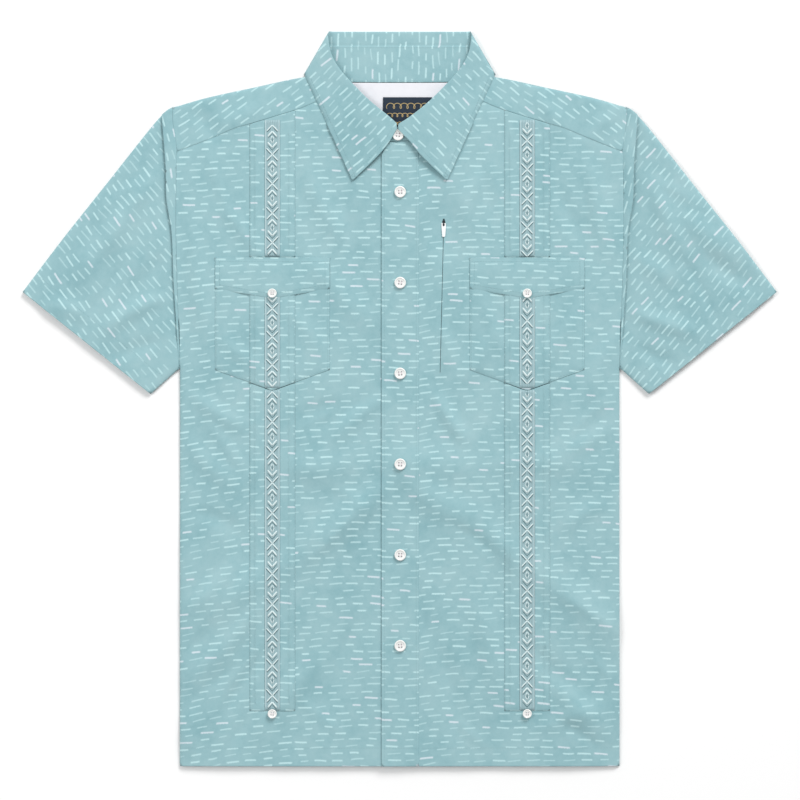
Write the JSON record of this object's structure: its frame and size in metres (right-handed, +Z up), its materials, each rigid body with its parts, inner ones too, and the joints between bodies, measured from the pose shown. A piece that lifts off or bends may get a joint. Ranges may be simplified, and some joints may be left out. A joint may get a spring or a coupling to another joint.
{
  "type": "short-sleeved guayabera shirt laid flat",
  "caption": "Short-sleeved guayabera shirt in printed aqua poplin, laid flat, with embroidered tucked bands, flap pockets and a zip pocket.",
  "frame": {"origin": "on the surface the shirt lies on, in the middle of its outline", "axes": "+Z up off the surface through the front of the shirt, +Y from hem to collar, +X to the wearer's left"},
  "size_m": [0.8212, 0.8, 0.0097],
  "materials": {
    "back_panel": "printed poplin",
    "back_yoke": "printed poplin",
    "button_band_left": "pearly white",
    "button_band_right": "pearly white",
    "button_collar": "pearly white",
    "button_flap_left": "pearly white",
    "button_flap_right": "pearly white",
    "button_front_1": "pearly white",
    "button_front_2": "pearly white",
    "button_front_3": "pearly white",
    "button_front_4": "pearly white",
    "button_front_5": "pearly white",
    "button_front_6": "pearly white",
    "collar_leaf": "printed poplin",
    "collar_stand": "printed poplin",
    "front_left": "printed poplin",
    "front_right": "printed poplin",
    "lower_band_left": "printed poplin",
    "lower_band_right": "printed poplin",
    "neck_label": "woven navy",
    "placket": "printed poplin",
    "pocket_band_left": "printed poplin",
    "pocket_band_right": "printed poplin",
    "pocket_flap_left": "printed poplin",
    "pocket_flap_right": "printed poplin",
    "pocket_left": "printed poplin",
    "pocket_right": "printed poplin",
    "sleeve_left": "printed poplin",
    "sleeve_right": "printed poplin",
    "upper_band_left": "printed poplin",
    "upper_band_right": "printed poplin",
    "yoke_lining": "plain white poplin",
    "zip_pull_tab": "moulded white",
    "zip_slider": "dark satin",
    "zip_tape": "printed poplin"
  },
  "bodies": {
    "shirt": {"back_panel": "back_panel", "back_yoke": "back_yoke", "button_band_left": "button_band_left", "button_band_right": "button_band_right", "button_collar": "button_collar", "button_flap_left": "button_flap_left", "button_flap_right": "button_flap_right", "button_front_1": "button_front_1", "button_front_2": "button_front_2", "button_front_3": "button_front_3", "button_front_4": "button_front_4", "button_front_5": "button_front_5", "button_front_6": "button_front_6", "collar_leaf": "collar_leaf", "collar_stand": "collar_stand", "front_left": "front_left", "front_right": "front_right", "lower_band_left": "lower_band_left", "lower_band_right": "lower_band_right", "neck_label": "neck_label", "placket": "placket", "pocket_band_left": "pocket_band_left", "pocket_band_right": "pocket_band_right", "pocket_flap_left": "pocket_flap_left", "pocket_flap_right": "pocket_flap_right", "pocket_left": "pocket_left", "pocket_right": "pocket_right", "sleeve_left": "sleeve_left", "sleeve_right": "sleeve_right", "upper_band_left": "upper_band_left", "upper_band_right": "upper_band_right", "yoke_lining": "yoke_lining", "zip_slider": "zip_slider", "zip_tape": "zip_tape"},
    "zip_pull": {"zip_pull_tab": "zip_pull_tab"}
  },
  "joints": [
    {"name": "zip_pull_flip", "type": "hinge", "parent": "shirt", "child": "zip_pull", "pos_m": [0.04787, 0.1907, 0.0044], "axis": [-1, 0, 0], "range_deg": [0, 165]}
  ]
}
